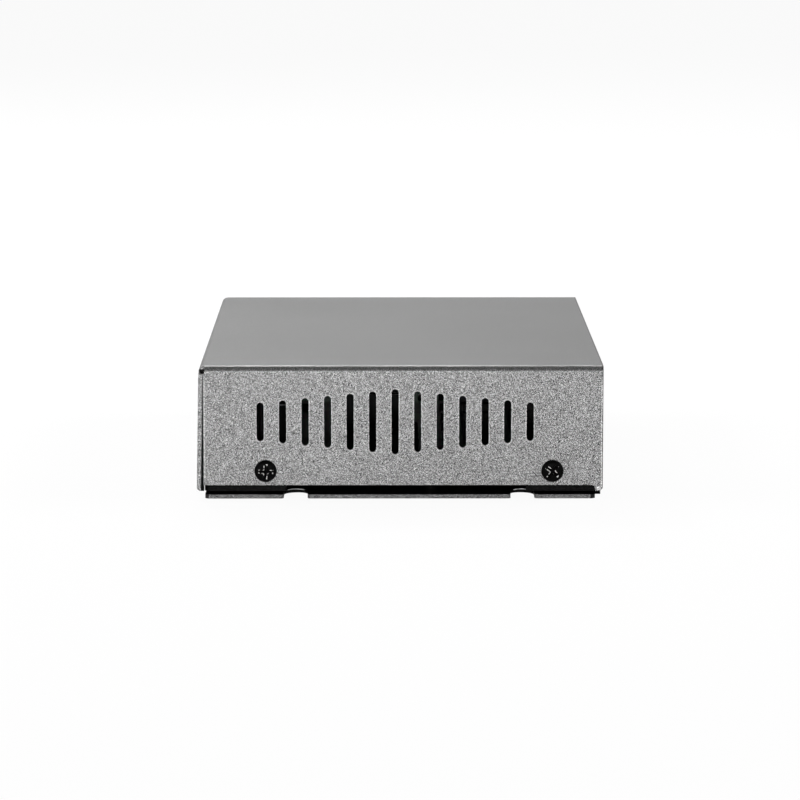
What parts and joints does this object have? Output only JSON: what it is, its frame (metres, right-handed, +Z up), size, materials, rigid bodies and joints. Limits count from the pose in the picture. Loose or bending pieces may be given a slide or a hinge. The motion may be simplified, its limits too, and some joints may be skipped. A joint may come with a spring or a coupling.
{
  "type": "network switch",
  "caption": "Low sheet-metal box that switches network cables and powers what they feed, with a slotted folded cover screwed over a base tray, plug sockets and a power inlet.",
  "frame": {"origin": "centre of the footprint on the surface that the switch stands on", "axes": "+X across the port side, -Y out of the port side, +Z up; the picture looks at the -X side"},
  "size_m": [0.1426, 0.1018, 0.0335],
  "materials": {
    "cover_coat": "fine-grained metallic powder coat",
    "tray_coat": "fine-grained metallic powder coat",
    "screw_coat": "black oxide, oiled",
    "plated_steel": "bright nickel plate",
    "board_resin": "green solder mask",
    "moulded_black": "moulded",
    "green_lens": "milky",
    "amber_lens": "milky",
    "contact_gold": "gold plated",
    "chip_black": "moulded epoxy",
    "bare_aluminium": "plain",
    "black_anodised": "black anodised",
    "ferrite": "pressed powder",
    "fuse_ceramic": "glazed",
    "chip_ceramic": "fired"
  },
  "bodies": {
    "root": {"base_tray": "tray_coat", "board_screws": "plated_steel", "board_standoffs": "plated_steel", "bulk_capacitor_1": "bare_aluminium", "bulk_capacitor_2": "bare_aluminium", "bulk_capacitor_3": "bare_aluminium", "ceramic_capacitors": "chip_ceramic", "chip_resistors": "chip_black", "circuit_board": "board_resin", "cover_screws": "screw_coat", "crystal": "plated_steel", "flash_chip": "chip_black", "heat_sink": "black_anodised", "inlet_body": "moulded_black", "inlet_pin": "contact_gold", "input_fuse": "fuse_ceramic", "jack_contacts_1": "contact_gold", "jack_contacts_2": "contact_gold", "jack_contacts_3": "contact_gold", "jack_contacts_4": "contact_gold", "jack_contacts_5": "contact_gold", "jack_housing_1": "moulded_black", "jack_housing_2": "moulded_black", "jack_housing_3": "moulded_black", "jack_housing_4": "moulded_black", "jack_housing_5": "moulded_black", "jack_shield_1": "plated_steel", "jack_shield_2": "plated_steel", "jack_shield_3": "plated_steel", "jack_shield_4": "plated_steel", "jack_shield_5": "plated_steel", "lamp_holder": "moulded_black", "line_transformer_1": "chip_black", "line_transformer_2": "chip_black", "line_transformer_3": "chip_black", "line_transformer_4": "chip_black", "line_transformer_5": "chip_black", "link_lamps": "green_lens", "power_controller": "chip_black", "power_inductor_1": "ferrite", "power_inductor_2": "ferrite", "power_lamps": "amber_lens", "step_down_chip": "chip_black", "surge_diodes": "chip_black", "switch_chip": "chip_black", "top_cover": "cover_coat"}
  },
  "joints": []
}
